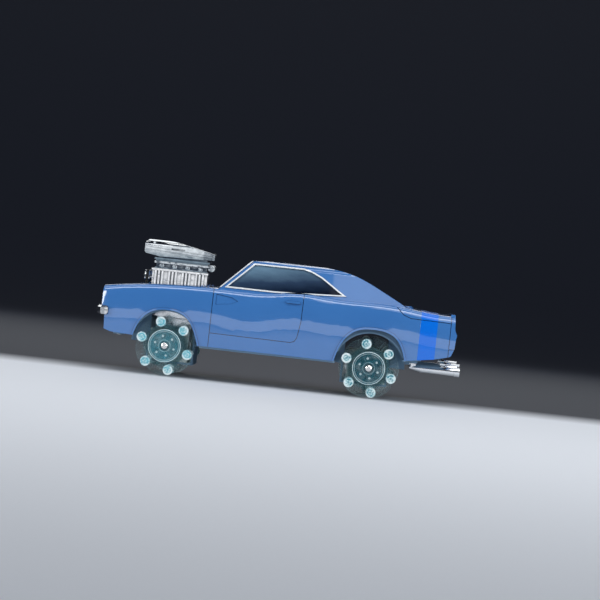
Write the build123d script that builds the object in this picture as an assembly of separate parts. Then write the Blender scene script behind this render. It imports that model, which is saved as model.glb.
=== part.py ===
from build123d import *
import math
import os

# Remote control drift car: a coupe body with a blower through the hood, on four
# powered mecanum wheels. Millimetres, nose towards -X, left side towards -Y, +Z up,
# origin on the ground under the middle of the car.

# Driving dimensions
wheelbase = 162.0
front_overhang = 57.5        # bumper face ahead of the front axle
rear_overhang = 72.0         # exhaust tips behind the rear axle
body_width = 112.4           # over the rear haunches
roof_height = 99.3
wheel_diameter = 48.0
wheel_width = 25.0
track = 86.0                 # between the left and right wheel centres
shell_wall = 1.8
floor_thickness = 1.8

# Wheels
roller_count = 6
roller_tilt = 45.0
roller_core = 0.757 * wheel_diameter / 2      # roller axis to wheel axis
roller_half = 0.44 * wheel_width              # half length of one roller
roller_gap = 0.35                             # hub to roller
stub_radius = 1.0
stub_length = 2.0
ear_radius = 0.163 * wheel_diameter / 2
hub_radius = 0.483 * wheel_diameter / 2
hub_skin = 1.5
rim_height = 0.6
wheel_screw_radius = 1.25
wheel_screw_head = 2.45

# Drive
tooth_module = 0.5
gear_teeth = 36
pinion_teeth = 12
pressure_angle = 25.0
backlash = 0.10
gear_width = 5.0
axle_radius = 2.4
motor_shaft_radius = 1.0
motor_radius = 7.2
motor_flat = 5.6
motor_length = 15.5
housing_wall = 1.6
housing_half_height = 12.5

# Electrics
cell_radius = 7.0
cell_length = 50.0
board_length = 52.0
board_width = 40.0
board_thickness = 1.6
switch_travel = 4.0

# Fits
running_gap = 0.05           # radial, shafts in bearings
piece_gap = 0.15             # between parts laid in an opening
slide_gap = 0.25
pilot_radius = 1.05
screw_radius = 1.25
screw_head_radius = 2.4
transit_hole_radius = 1.5
transit_spacing = 70.0

# Derived frame: stations and heights are drawn from the middle of a 162 mm
# wheelbase and from the axle line, and follow the driving dimensions from there.
axle_z = wheel_diameter / 2
x_nose = -(front_overhang + wheelbase + rear_overhang) / 2
x_front = x_nose + front_overhang
x_rear = x_front + wheelbase
wheel_y = track / 2
half_wheel = wheel_width / 2


def sx(s):
    if s < -81:
        return x_front + (s + 81) * front_overhang / 57.5
    if s > 81:
        return x_rear + (s - 81) * rear_overhang / 72
    return (x_front + x_rear) / 2 + s * wheelbase / 162


def hz(z):
    return axle_z + z * (roof_height - axle_z) / 75.3


def wy(y):
    return y * body_width / 112.4


def side_face(points):
    """Closed outline in the XZ plane from drawn stations and heights."""
    return Face(Wire.make_polygon([Vector(sx(s), 0, hz(z)) for s, z in points], close=True))


def across(face, low, high):
    """Prism of an XZ outline between two Y values."""
    return extrude(Pos(0, low, 0) * face, amount=high - low, dir=(0, 1, 0))


def along_x(outline, s0, s1):
    """Prism of a YZ outline, given as drawn widths and heights, between two stations."""
    x0 = sx(s0)
    face = Face(Wire.make_polygon([Vector(x0, wy(y), hz(z)) for y, z in outline], close=True))
    return extrude(face, amount=sx(s1) - x0, dir=(1, 0, 0))


def block(x0, x1, y0, y1, z0, z1):
    return Pos((x0 + x1) / 2, (y0 + y1) / 2, (z0 + z1) / 2) * Box(
        abs(x1 - x0), abs(y1 - y0), abs(z1 - z0))


def body_block(s0, s1, y0, y1, z0, z1):
    return block(sx(s0), sx(s1), wy(y0), wy(y1), hz(z0), hz(z1))


def both_sides(shape):
    return shape + mirror(shape, about=Plane.XZ)


def join(shapes):
    total = shapes[0]
    for shape in shapes[1:]:
        total = total + shape
    return total


def pin_z(x, y, z0, z1, radius):
    return Pos(x, y, z0) * Cylinder(
        radius, z1 - z0, align=(Align.CENTER, Align.CENTER, Align.MIN))


def pin_y(x, z, y0, y1, radius):
    low = min(y0, y1)
    return Pos(x, low, z) * Rot(-90, 0, 0) * Cylinder(
        radius, abs(y1 - y0), align=(Align.CENTER, Align.CENTER, Align.MIN))


def pin_x(y, z, x0, x1, radius):
    low = min(x0, x1)
    return Pos(low, y, z) * Rot(0, 90, 0) * Cylinder(
        radius, abs(x1 - x0), align=(Align.CENTER, Align.CENTER, Align.MIN))


def export(shape, name):
    solids = shape.solids()
    made = solids[0] if len(solids) == 1 else Compound(children=list(solids))
    export_step(made, f"parts/{name}.step")
    print(name, len(solids), round(sum(s.volume for s in solids), 1))


os.makedirs("parts", exist_ok=True)

# --- Lower body: station, sill half width, widest half width and its height,
# --- shoulder half width and height, height of the crown
body_rows = [
    (-138, 48.0, 50.0, 27, 46.0, 41.4, 42.3),
    (-133, 50.6, 52.6, 27, 48.6, 42.2, 43.1),
    (-120, 52.6, 54.8, 28, 51.0, 44.2, 45.2),
    (-100, 53.4, 55.9, 30, 51.8, 46.6, 47.7),
    (-81, 53.6, 56.1, 32, 51.9, 48.0, 49.2),
    (-43, 53.2, 55.4, 34, 50.9, 49.1, 50.6),
    (0, 52.8, 55.0, 34, 50.5, 50.1, 51.4),
    (45, 53.3, 55.8, 36, 51.2, 51.3, 52.2),
    (81, 53.9, 56.5, 38, 52.2, 51.2, 52.3),
    (104, 53.6, 56.3, 38, 52.0, 50.2, 51.2),
    (118, 53.0, 55.6, 36, 51.3, 48.5, 49.5),
    (135, 51.8, 54.2, 34, 50.0, 47.2, 48.2),
    (152, 49.4, 51.6, 32, 47.8, 45.8, 46.6),
]


def body_section(row, grow):
    s, sill, wide, wide_z, shoulder, shoulder_z, crown = row
    x = sx(s)
    sill, wide, shoulder = wy(sill) + grow, wy(wide) + grow, wy(shoulder) + grow
    low, wide_z, shoulder_z = hz(-6), hz(wide_z), hz(shoulder_z) + grow
    crown = hz(crown) + grow

    def flip(p):
        return Vector(p.X, -p.Y, p.Z)

    foot = Vector(x, sill, low)
    knee = Vector(x, wide, low + 0.45 * (wide_z - low))
    waist = Vector(x, wide, wide_z)
    corner = Vector(x, shoulder, shoulder_z)
    under = corner + (waist - corner).normalized() * 4.5
    over = corner + Vector(0, -4.5, 0.35)
    top = Vector(x, shoulder * 0.5, (crown - 0.25 * over.Z) / 0.75)
    return Face(Wire([
        Edge.make_line(flip(foot), foot),
        Edge.make_bezier(foot, knee, waist, under),
        Edge.make_bezier(under, corner, over),
        Edge.make_bezier(over, top, flip(top), flip(over)),
        Edge.make_bezier(flip(over), flip(corner), flip(under)),
        Edge.make_bezier(flip(under), flip(waist), flip(knee), flip(foot)),
    ]))


def lower_body(grow):
    return loft([body_section(row, grow) for row in body_rows])


def body_outline(inset, bottom):
    front = [(-133.5, 60), (-133.5, 43.5), (-134, 40), (-134, 28), (-131, 19), (-130.4, 8.4)]
    rear = [(143, 15.5), (144.4, 16.6), (146.5, 22), (147, 30), (147.5, 33), (145.6, 37),
            (145, 47.5), (145, 60)]
    pts = [Vector(sx(s) + inset, 0, hz(z)) for s, z in front]
    if bottom:
        pts += [Vector(sx(s), 0, hz(z)) for s, z in [
            (-125, 6.6), (-107.5, 5.8), (-55, 2.8), (52, 2.6), (109, 9), (131, 12.4)]]
    else:
        pts[-1] = Vector(pts[-1].X, 0, hz(-8))
        rear = [(143, -8)] + rear[1:]
    pts += [Vector(sx(s) - inset, 0, hz(z)) for s, z in rear]
    return Face(Wire.make_polygon(pts, close=True))


reach = body_width
outer_low = lower_body(0) & across(body_outline(0, True), -reach, reach)
inner_low = lower_body(-shell_wall) & across(body_outline(shell_wall, False), -reach, reach)
proud_low = lower_body(0.8) & across(body_outline(0, True), -reach, reach)
groove_floor = lower_body(-0.6)
fit_low = lower_body(-shell_wall - slide_gap) & across(
    body_outline(shell_wall + slide_gap, False), -reach, reach)

# --- Greenhouse: side outline crossed with the tumblehome section
roof_points = [(-15.5, 74.1), (-4, 75.0), (10, 75.3), (30, 75.1), (44, 74.4), (52, 73.4),
               (60, 71.6), (72, 67.3), (88, 59.6), (104, 51.4), (110, 48.2)]


def greenhouse(inset):
    drop = inset * 1.1
    roof = [Vector(sx(s), 0, hz(z) - drop) for s, z in roof_points]
    head = Vector(sx(-20.5), 0, hz(73.0) - drop)
    cowl = Vector(sx(-48.5), 0, hz(45) - drop)
    low_rear = Vector(sx(110), 0, hz(44) - drop)
    low_front = Vector(sx(-48.5), 0, hz(44) - drop)
    outline = Face(Wire([
        Edge.make_line(cowl, head),
        Edge.make_bezier(head, head + (head - cowl).normalized() * 1.6,
                         roof[0] - Vector(2.4, 0, 0.25), roof[0]),
        Edge.make_spline(roof),
        Edge.make_line(roof[-1], low_rear),
        Edge.make_line(low_rear, low_front),
        Edge.make_line(low_front, cowl),
    ]))
    x0, x1 = sx(-60), sx(115)
    half = [(50.6, 43), (39.4, 70.5), (37.8, 73.3), (33.0, 74.5)]

    def at(y, z, side):
        return Vector(x0, side * (wy(y) - inset), hz(z) - drop)

    right = [at(y, z, 1) for y, z in half]
    left = [at(y, z, -1) for y, z in half]
    crown = hz(75.9) - drop
    section = Face(Wire([
        Edge.make_line(right[0], right[1]),
        Edge.make_bezier(right[1], right[2], right[3]),
        Edge.make_bezier(right[3], Vector(x0, wy(12), crown), Vector(x0, -wy(12), crown), left[3]),
        Edge.make_bezier(left[3], left[2], left[1]),
        Edge.make_line(left[1], left[0]),
        Edge.make_line(left[0], right[0]),
    ]))
    shape = extrude(section, amount=x1 - x0, dir=(1, 0, 0)) & across(outline, -reach, reach)
    # tunnelled rear window between the sail panels
    tunnel = Face(Wire.make_polygon([
        Vector(sx(63) - drop, 0, hz(82)), Vector(sx(63) - drop, 0, hz(70.4) - drop),
        Vector(sx(80) - drop, 0, hz(51.2)), Vector(sx(83), 0, hz(49.6) - 2 * inset),
        Vector(sx(112), 0, hz(49.6) - 2 * inset), Vector(sx(112), 0, hz(82))], close=True))
    return shape - across(tunnel, -wy(27) - inset, wy(27) + inset)


outer_top = greenhouse(0)
inner_top = greenhouse(shell_wall)


# --- Openings in the shell
def arch_outline(points, grow, axle_x):
    pts = [Vector(axle_x + (sx(s) - axle_x) * grow, 0, axle_z + (hz(z) - axle_z) * grow)
           for s, z in points]
    return Face(Wire([Edge.make_spline(pts), Edge.make_line(pts[-1], pts[0])]))


front_arch = [(-108.2, -7), (-106.8, 6), (-103.6, 15.5), (-98, 23), (-90, 27.3), (-81, 28.3),
              (-72, 27), (-65, 22.6), (-60, 15), (-56.4, 6), (-53.4, -7)]
rear_arch = [(50.6, -7), (53.6, 6), (57, 16), (63, 24.6), (71, 29.3), (80.5, 30.6), (91, 29.8),
             (99, 26.2), (104.6, 19), (108, 9.5), (110.4, -7)]
arches = [(front_arch, x_front), (rear_arch, x_rear)]

side_window = [(-39.0, 51.0), (-17.6, 72.4), (22, 72.6), (29, 70.8), (37, 67.2), (45, 62.0),
               (51, 57.9), (57.5, 54.0), (40, 53.0), (20, 51.9), (0, 51.0)]
trim_width = 1.0
glass_edge = [(-36.4, 52.2), (-17.0, 71.3), (21.8, 71.5), (28.4, 69.8), (36.2, 66.3), (44.2, 61.2),
              (50.2, 57.1), (54.2, 54.7), (40, 54.0), (20, 52.9), (0, 52.1)]
screen_open = [(-44.5, 51.6), (44.5, 51.6), (35.6, 71.4), (-35.6, 71.4)]
screen_edge = [(-43.2, 52.6), (43.2, 52.6), (34.6, 70.4), (-34.6, 70.4)]
back_open = [(-23.5, 53.4), (23.5, 53.4), (21.5, 68.4), (-21.5, 68.4)]
back_edge = [(-22.3, 54.4), (22.3, 54.4), (20.4, 67.4), (-20.4, 67.4)]
grille_open = [(-48, 29), (48, 29), (47.4, 40.2), (-47.4, 40.2)]
tail_open = [(10, 35.6), (44.5, 35.6), (43.6, 43.6), (10, 43.6)]

shell = (outer_low + outer_top) - inner_low - inner_top
for points, axle_x in arches:
    hole = across(arch_outline(points, 1.0, axle_x), -reach, reach)
    lip = across(arch_outline(points, 1.052, axle_x), -reach, reach) - hole
    lip = (lip & proud_low) - inner_low
    shell = (shell + lip) - hole
shell = shell - both_sides(across(side_face(side_window), -wy(60), -wy(30)))
shell = shell - along_x(screen_open, -70, -19)
pillar_band = both_sides(across(side_face([(-44.8, 49.6), (-20.1, 74.4), (-18.9, 73.9),
                                           (-43.1, 49.6)]), -wy(60), -wy(30)))
pillar_band = pillar_band - along_x(screen_open, -70, -10)
shell = shell - (pillar_band & (greenhouse(-1.0) - greenhouse(0.5)))
shell = shell - along_x(back_open, 55, 90)
shell = shell - along_x(grille_open, -140, -126)
shell = shell - both_sides(along_x(tail_open, 139, 152))
shell = shell - body_block(-107.5, -53.5, -18.5, 18.5, 40, 60)


# --- Shut lines and seams cut a little way into the skin
def strip_side(points, width=0.55):
    runs = []
    for (s0, z0), (s1, z1) in zip(points, points[1:]):
        a, b = Vector(sx(s0), 0, hz(z0)), Vector(sx(s1), 0, hz(z1))
        run = (b - a).normalized() * (width / 2)
        n = Vector(-run.Z, 0, run.X)
        a, b = a - run, b + run
        runs.append(across(Face(Wire.make_polygon([a + n, b + n, b - n, a - n], close=True)),
                           -reach, reach))
    return join(runs) - block(-400, 400, -wy(45), wy(45), -50, 400)


def strip_top(points, width=0.6):
    runs = []
    for (s0, y0), (s1, y1) in zip(points, points[1:]):
        a, b = Vector(sx(s0), wy(y0), hz(30)), Vector(sx(s1), wy(y1), hz(30))
        run = (b - a).normalized() * (width / 2)
        n = Vector(-run.Y, run.X, 0)
        a, b = a - run, b + run
        face = Face(Wire.make_polygon([a + n, b + n, b - n, a - n], close=True))
        runs.append(extrude(face, amount=hz(60) - hz(30), dir=(0, 0, 1)))
    return join(runs)


door_line = [(-47, 52), (-47, -6)]
door_edge = [(-47, 14), (17, 13.4), (20.4, 14.6), (22, 17.5), (24, 30), (24.3, 50.6), (24.3, 53)]
tail_seam = [(142, 48), (142, 14)]
tail_cross = [(142, 21.5), (149, 21.5)]
quarter_crease = [(98.5, 50), (104, 44.8), (110, 42.6), (142, 42.0)]
lines = [strip_side(points) for points in
         (door_line, door_edge, tail_seam, tail_cross, quarter_crease)]
hood_line = [(-127, 40), (-47, 43.5), (-47, -43.5), (-127, -40), (-127, 40)]
trunk_line = [(111, 37), (140, 35), (140, -35), (111, -37), (111, 37)]
lines += [strip_top(points) for points in (hood_line, trunk_line)]
shell = shell - (join(lines) - groove_floor)

# a shallow scallop pressed into each door behind its front edge
scallop = across(side_face([(-44.6, 37.2), (-43.8, 36.7), (-32, 38.4), (-27, 41), (-32, 43.6),
                            (-43.8, 45.3), (-44.6, 44.8)]), -reach, reach)
scallop = scallop - block(-400, 400, -wy(45), wy(45), -50, 400)
shell = shell - (scallop - lower_body(-0.55))

# door handles, fuel cap, hood vents and wiper blades stand on the skin
handle = across(side_face([(11, 44.2), (21.5, 44.2), (22.3, 45), (21.5, 46), (11, 46),
                           (10.3, 45)]), -reach, reach)
handle = (handle & lower_body(1.3)) - lower_body(-0.8)
cap = pin_z(sx(107), -wy(41.5), hz(46), hz(50.9), 4.2) + pin_z(
    sx(107), -wy(41.5), hz(50.8), hz(51.9), 3.0)
vents = both_sides(join([body_block(s, s + 1.2, 24, 38, 45, 51.2) for s in (-58, -55.5, -53)]))
vents = (vents & lower_body(0.7)) - lower_body(-0.8)
spoiler = along_x([(-47, 46), (47, 46), (46.2, 49.0), (-46.2, 49.0)], 141.4, 144.8)
shell = shell + handle + (cap - inner_low) + vents + (spoiler - inner_low)

# screw bosses under hood and deck
boss_spots = [(-119.5, 33), (-119.5, -33), (117.5, 22), (117.5, -22)]
boss_floor = {-119.5: 8.6, 117.5: 12.4}
for s, y in boss_spots:
    post = pin_z(sx(s), wy(y), hz(boss_floor[s]), hz(49), 3.4) & outer_low
    bore = pin_z(sx(s), wy(y), hz(boss_floor[s]) - 1, hz(boss_floor[s]) + 9, pilot_radius)
    shell = (shell + post) - bore
export(shell, "body_shell")

# --- Smoked glazing: one moulding with raised panes
skin = greenhouse(shell_wall + piece_gap) - greenhouse(shell_wall + 1.3)
skin = skin & body_block(-60, 112, -60, 60, 50.4, 80)
skin = skin - lower_body(0.3)
pane_zone = greenhouse(0.55) - greenhouse(shell_wall + 0.6)
side_panes = both_sides(across(side_face(glass_edge), -wy(60), -wy(30)))
pane_tools = side_panes + along_x(screen_edge, -70, -19) + along_x(back_edge, 57, 90)
glazing = skin + (pane_zone & pane_tools)
glazing = glazing & lower_body(30)
export(glazing, "window_glazing")

# --- Bright window surrounds
ring_zone = greenhouse(-0.45) - greenhouse(shell_wall)
inner_ring = both_sides(across(side_face(glass_edge), -wy(61), -wy(29)))
side_ring = both_sides(across(side_face(side_window), -wy(60), -wy(30))) - inner_ring
screen_ring = along_x(screen_open, -60, -19) - along_x(screen_edge, -61, -18)
back_ring = along_x(back_open, 57, 90) - along_x(back_edge, 56, 91)
keep = body_block(-60, 112, -60, 60, 50.9, 80)
trims = [(zone & ring_zone & keep) - lower_body(0.15)
         for zone in (side_ring, screen_ring, back_ring)]
trims.append((pillar_band & (greenhouse(-0.45) - greenhouse(0.45)) & keep) - lower_body(0.15))
export(Compound(children=[s for trim in trims for s in trim.solids() if s.volume > 1]),
       "window_trims")

# --- Nose: grille with barred centre, lamps, bumper
grille = along_x([(-48 + 0.2, 29.2), (48 - 0.2, 29.2), (47.2, 40.0), (-47.2, 40.0)], -131.6, -128)
grille = grille + (along_x([(-49.5, 27.6), (49.5, 27.6), (49.5, 41), (-49.5, 41)], -129.4, -127.6)
                   & fit_low)
for y in [-10.5 + 3.0 * k for k in range(8)]:
    grille = grille + body_block(-133.1, -131.0, y - 0.7, y + 0.7, 29.8, 39.4)
for z in (32.4, 34.6, 36.8):
    grille = grille + both_sides(body_block(-132.3, -131.0, 13.5, 31, z - 0.45, z + 0.45))
lamp_box = [(32.5, 30.4), (45.8, 30.4), (45.4, 38.8), (32.5, 38.8)]
grille = grille - both_sides(along_x(lamp_box, -134, -129.2))
export(grille, "grille")
lens = along_x([(32.7, 30.6), (45.6, 30.6), (45.2, 38.6), (32.7, 38.6)], -132.4, -129.25)
for y in (35.9, 42.2):
    lens = lens + pin_x(wy(y), hz(34.6), sx(-133.1), sx(-131), 2.6 * body_width / 112.4)
export(both_sides(lens), "headlamps")

bumper_half = [(-138.5, 38), (-137.4, 46), (-134.6, 52.5), (-131, 55.6), (-128.4, 56.2)]
bumper_plan = [(s, -y) for s, y in bumper_half] + bumper_half[::-1]
plan = Face(Wire.make_polygon([Vector(sx(s), wy(y), hz(21)) for s, y in bumper_plan], close=True))
bar = extrude(plan, amount=hz(25) - hz(21), dir=(0, 0, 1))
bar = bar + extrude(Pos(0, 0, hz(25) - hz(21)) * plan, amount=hz(26.4) - hz(25), taper=38)
bar = bar + mirror(extrude(plan, amount=hz(21) - hz(19.6), taper=38),
                   about=Plane((0, 0, hz(21))))
bar = bar - (block(-400, sx(-128), -wy(60), wy(60), hz(22.8), hz(23.4))
             - block(sx(-137.6), 0, -wy(54.6), wy(54.6), hz(20), hz(26)))
bar = bar - (lower_body(piece_gap) & across(body_outline(-piece_gap, True), -reach, reach))
export(bar, "front_bumper")

tail = along_x([(10.2, 35.8), (44.3, 35.8), (43.4, 43.4), (10.2, 43.4)], 141.6, 145.0)
tail = tail + (along_x([(8.6, 34.4), (45.4, 34.4), (45.4, 44.6), (8.6, 44.6)], 141.2, 142.6)
               & fit_low)
for y in (18.4, 26.8, 35.2):
    tail = tail - body_block(144.4, 146, y - 0.35, y + 0.35, 35, 44)
export(both_sides(tail), "tail_lamps")

# --- Blower stack through the hood
block_base = body_block(-99.5, -56, -13, 13, 22, 46.4)
for k in range(4):
    block_base = block_base + both_sides(body_block(
        -96.5 + 10.4 * k, -89.5 + 10.4 * k, 12, 16.2, 36, 45.2))
rail = both_sides(body_block(-99, -56.5, 12, 17.2, 42.6, 45.4))
pedestal = block(sx(-92), sx(-64), -9, 9, axle_z + housing_half_height + 0.4, hz(22.5))
case = body_block(-99.6, -55.4, -14.2, 14.2, 46.3, 59.4)
case = case + block_base + rail + pedestal
for k in range(4):
    for j in range(3):
        s = -97.6 + 10.9 * k + 2.7 * j
        case = case + both_sides(body_block(s, s + 1.5, 13.6, 15.8, 47.2, 58.4))
case = case + body_block(-100.4, -54.8, -15.4, 15.4, 46.5, 47.5)
case = case + body_block(-100.4, -54.8, -15.4, 15.4, 58.4, 59.9)
case = case + pin_x(0, hz(52.4), sx(-101.6), sx(-99), 5.0)
case = case - pin_x(0, hz(52.4), sx(-102), sx(-99.9), 1.6)
export(case, "blower_case")

injector = body_block(-97.2, -56.4, -11.8, 11.8, 60.0, 64.2)
injector = injector + body_block(-98.0, -55.6, -14.6, 14.6, 60.0, 61.0)
for k in range(4):
    s = sx(-92.6 + 10.4 * k)
    injector = injector + pin_y(s, hz(62.4), -wy(15.2), wy(15.2), 1.9)
    injector = injector + pin_y(s, hz(62.4), -wy(16.6), wy(16.6), 0.9)
injector = injector + body_block(-98.6, -55.2, -15.6, 15.6, 64.2, 66.0)
injector = injector + pin_y(sx(-52.8), hz(64.2), -wy(13.4), wy(13.4), 2.7)
injector = injector + pin_y(sx(-52.8), hz(64.2), -wy(14.4), wy(14.4), 1.2)
injector = injector + body_block(-57, -52.6, -6, 6, 62.8, 65.6)
export(injector, "injector_body")

scoop_side = [(-107.2, 80.0), (-104.6, 82.9), (-98, 83.1), (-84, 82.2), (-70, 79.5),
              (-51.0, 75.4), (-51.2, 70.6), (-95, 69.6), (-106.2, 71.4), (-107.2, 72.8)]
scoop = across(side_face(scoop_side), -wy(21), wy(21))
plan_pts = [(-111, 20.4), (-96, 20.6), (-60, 17.4), (-48, 13.2), (-48, -13.2), (-60, -17.4),
            (-96, -20.6), (-111, -20.4)]
plan = Face(Wire.make_polygon([Vector(sx(s), wy(y), hz(60)) for s, y in plan_pts], close=True))
scoop = scoop & extrude(plan, amount=hz(90) - hz(60), dir=(0, 0, 1))
crown_tool = extrude(Face(Wire([
    Edge.make_line(Vector(sx(-112), -wy(21), hz(60)), Vector(sx(-112), wy(21), hz(60))),
    Edge.make_line(Vector(sx(-112), wy(21), hz(60)), Vector(sx(-112), wy(21), hz(76.5))),
    Edge.make_bezier(Vector(sx(-112), wy(21), hz(76.5)), Vector(sx(-112), wy(20.4), hz(84.6)),
                     Vector(sx(-112), -wy(20.4), hz(84.6)), Vector(sx(-112), -wy(21), hz(76.5))),
    Edge.make_line(Vector(sx(-112), -wy(21), hz(76.5)), Vector(sx(-112), -wy(21), hz(60))),
])), amount=sx(-40) - sx(-112), dir=(1, 0, 0))
scoop = scoop & crown_tool
mouth_side = [(-109, 79.4), (-103.4, 81.2), (-96, 81.4), (-74, 78.0), (-62, 75.6),
              (-58, 72.6), (-96, 71.6), (-109, 73.2)]
mouth = across(side_face(mouth_side), -wy(18.6), wy(18.6))
mouth_plan = Face(Wire.make_polygon([
    Vector(sx(s), wy(y), hz(60)) for s, y in
    [(-111, 18.6), (-96, 18.8), (-60, 15.2), (-60, -15.2), (-96, -18.8), (-111, -18.6)]],
    close=True))
mouth = mouth & extrude(mouth_plan, amount=hz(90) - hz(60), dir=(0, 0, 1))
scoop = scoop - mouth
ridge = both_sides(across(side_face([(-106.8, 75.0), (-106.8, 76.6), (-52, 73.4),
                                     (-52, 72.2)]), -wy(21.4), -wy(12)))
ridge_plan = Face(Wire.make_polygon([
    Vector(sx(s), wy(y), hz(60)) for s, y in
    [(-106.8, 21.2), (-96, 21.4), (-60, 18.2), (-52, 15.4), (-52, -15.4), (-60, -18.2),
     (-96, -21.4), (-106.8, -21.2)]], close=True))
ridge = (ridge & extrude(ridge_plan, amount=hz(90) - hz(60), dir=(0, 0, 1))) - mouth
scoop = scoop + ridge
scoop = scoop - both_sides(body_block(-86, -75, 18.0, 24, 75.6, 77.0))
for low, high, s0, s1, half in ((66.1, 67.3, -97.6, -55.6, 16.4), (67.3, 68.6, -98.8, -54.4, 17.6),
                                (68.6, 70.2, -96.4, -56.6, 15.6)):
    scoop = scoop + body_block(s0, s1, -half, half, low, high)
for y in (-12.4, -6.2, 0, 6.2, 12.4):
    scoop = scoop + (body_block(-101.4, -99.8, y - 0.4, y + 0.4, 70.5, 82) & crown_tool
                     & across(side_face(scoop_side), -wy(20), wy(20)))
export(scoop, "scoop")

drive = pin_x(0, hz(51.4), sx(-106.2), sx(-102.2), 6.3) - pin_x(
    0, hz(51.4), sx(-105.4), sx(-103.0), 7) + pin_x(0, hz(51.4), sx(-105.5), sx(-102.9), 5.4)
crank = pin_x(0, hz(30), sx(-106.2), sx(-102.2), 7.2)
nose = pin_x(0, hz(52.4), sx(-106.2), sx(-99.95), 1.5)
crank_nose = pin_x(0, hz(30), sx(-103), sx(-99.6), 3.0)
belt_outer = (pin_x(0, hz(51.4), sx(-105.3), sx(-103.1), 6.6)
              + pin_x(0, hz(30), sx(-105.3), sx(-103.1), 8.0))
span = Face(Wire.make_polygon([
    Vector(sx(-105.3), -6.6, hz(51.4)), Vector(sx(-105.3), 6.6, hz(51.4)),
    Vector(sx(-105.3), 8.0, hz(30)), Vector(sx(-105.3), -8.0, hz(30))], close=True))
slot_face = Face(Wire.make_polygon([
    Vector(sx(-105.4), -5.2, hz(44)), Vector(sx(-105.4), 5.2, hz(44)),
    Vector(sx(-105.4), 6.2, hz(38)), Vector(sx(-105.4), -6.2, hz(38))], close=True))
belt = belt_outer + extrude(span, amount=sx(-103.1) - sx(-105.3), dir=(1, 0, 0))
belt = belt - extrude(slot_face, amount=sx(-103.0) - sx(-105.4), dir=(1, 0, 0))
drive = drive + belt + crank + nose + crank_nose
export(drive, "blower_drive")

# --- Chassis: floor, axle pods, wheel wells, posts
well_side = 28.2
floor_line = [(-128.5, 8.6), (-104, 6.4), (-56, 1.2), (54, 1.2), (106, 7.6), (140, 14.6)]
floor_face = Face(Wire.make_polygon(
    [Vector(sx(s), 0, hz(z)) for s, z in floor_line]
    + [Vector(sx(s), 0, hz(z) + floor_thickness) for s, z in reversed(floor_line)], close=True))
chassis = across(floor_face, -reach, reach) & lower_body(-shell_wall - slide_gap)
pod_in, pod_out = 20.5, 14.0
well_radius = 1.135 * wheel_diameter / 2
well_wall = 1.3
outer_y = wy(50.2)
for axle_x, inward in ((x_front, 1), (x_rear, -1)):
    a, b = sorted((axle_x - inward * (pod_out + 1.5), axle_x + inward * (pod_in + 1.5)))
    wheel_bay = pin_y(axle_x, axle_z, well_side, 80, well_radius + 0.02)
    bay = wheel_bay + block(axle_x - well_radius, axle_x + well_radius, well_side, 80,
                            axle_z - 40, axle_z)
    drum = pin_y(axle_x, axle_z, well_side, outer_y, well_radius + well_wall)
    drum = drum + block(axle_x - well_radius - well_wall, axle_x + well_radius + well_wall,
                        well_side, outer_y, hz(2), axle_z)
    drum = drum & block(-400, 400, 0, 200, hz(10.5), 300) & lower_body(-shell_wall - slide_gap)
    inner_wall = pin_y(axle_x, axle_z, well_side, well_side + 1.4, well_radius + well_wall)
    inner_wall = inner_wall + block(axle_x - well_radius - well_wall,
                                    axle_x + well_radius + well_wall, well_side,
                                    well_side + 1.4, hz(1.2), axle_z)
    inner_wall = inner_wall & block(-400, 400, 0, 200, hz(1.2), 300)
    chassis = chassis - both_sides(bay)
    chassis = chassis + both_sides(drum - bay)
    chassis = chassis + both_sides(inner_wall)
    pod = block(a, b, -wheel_y + half_wheel + 0.9, wheel_y - half_wheel - 0.9,
                axle_z - housing_half_height - 1.6, hz(7.5))
    room = block(a + 1.5, b - 1.5, -80, 80, axle_z - housing_half_height, 300)
    cut = block(a + 1.5, b - 1.5, -well_side - 1.5, well_side + 1.5,
                axle_z - housing_half_height, axle_z + housing_half_height + 0.3)
    chassis = (chassis + pod) - room + (both_sides(inner_wall + drum - bay)
                                        & block(a + 1.5, b - 1.5, -80, 80,
                                                axle_z + housing_half_height + 0.3, 300))
    chassis = chassis - cut

# battery bay, switch slot and screw points in the floor
bay_x0, bay_y, bay_top = sx(-20), 16.5, hz(1.2) + floor_thickness + 15.6
floor_low = hz(1.2)
bay_x1 = bay_x0 + cell_length + 6
battery_wall = block(bay_x0 - 1.6, bay_x1 + 1.6, -bay_y - 1.6, bay_y + 1.6, floor_low, bay_top + 1.4)
battery_room = block(bay_x0, bay_x1, -bay_y, bay_y, floor_low + floor_thickness + 0.8, bay_top)
door_room = block(bay_x0 - 3, bay_x1 + 3, -bay_y - 3, bay_y + 3, floor_low - 1, floor_low + 0.9)
door_hole = block(bay_x0 + 0.5, bay_x1 - 0.5, -bay_y + 0.5, bay_y - 0.5, floor_low - 1, bay_top)
surround = block(bay_x0 - 5, bay_x1 + 5, -bay_y - 5, bay_y + 5, floor_low,
                 floor_low + floor_thickness)
chassis = chassis + battery_wall + surround - battery_room - door_room - door_hole
switch_x, switch_y = sx(-38), 26.0
slot = block(switch_x - 5.2, switch_x + 5.2 + switch_travel, switch_y - 1.9, switch_y + 1.9,
             floor_low - 1, floor_low + floor_thickness + 1)
chassis = chassis - slot
for s, y in boss_spots:
    x, z = sx(s), hz(boss_floor[s]) - 0.2
    pad = pin_z(x, wy(y), z - 3.6, z, 4.6)
    chassis = chassis + pad - pin_z(x, wy(y), z - 20, z + 20, screw_radius + 0.15)
    chassis = chassis - pin_z(x, wy(y), z - 20, z - 2.4, screw_head_radius + 0.35)
    chassis = chassis - pin_z(x, wy(y), z, z + 3, 3.7)
board_x, board_z = sx(-2), bay_top + 5.6
post_spots = [(board_x + i * (board_length / 2 - 4), j * (board_width / 2 - 3.4))
              for i in (-1, 1) for j in (-1, 1)]
for x, y in post_spots:
    foot = block(x - 2.2, x + 2.2, y - 2.2, y + 2.2, floor_low + 1.0, board_z)
    chassis = chassis + (foot - battery_room - door_hole)
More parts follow.
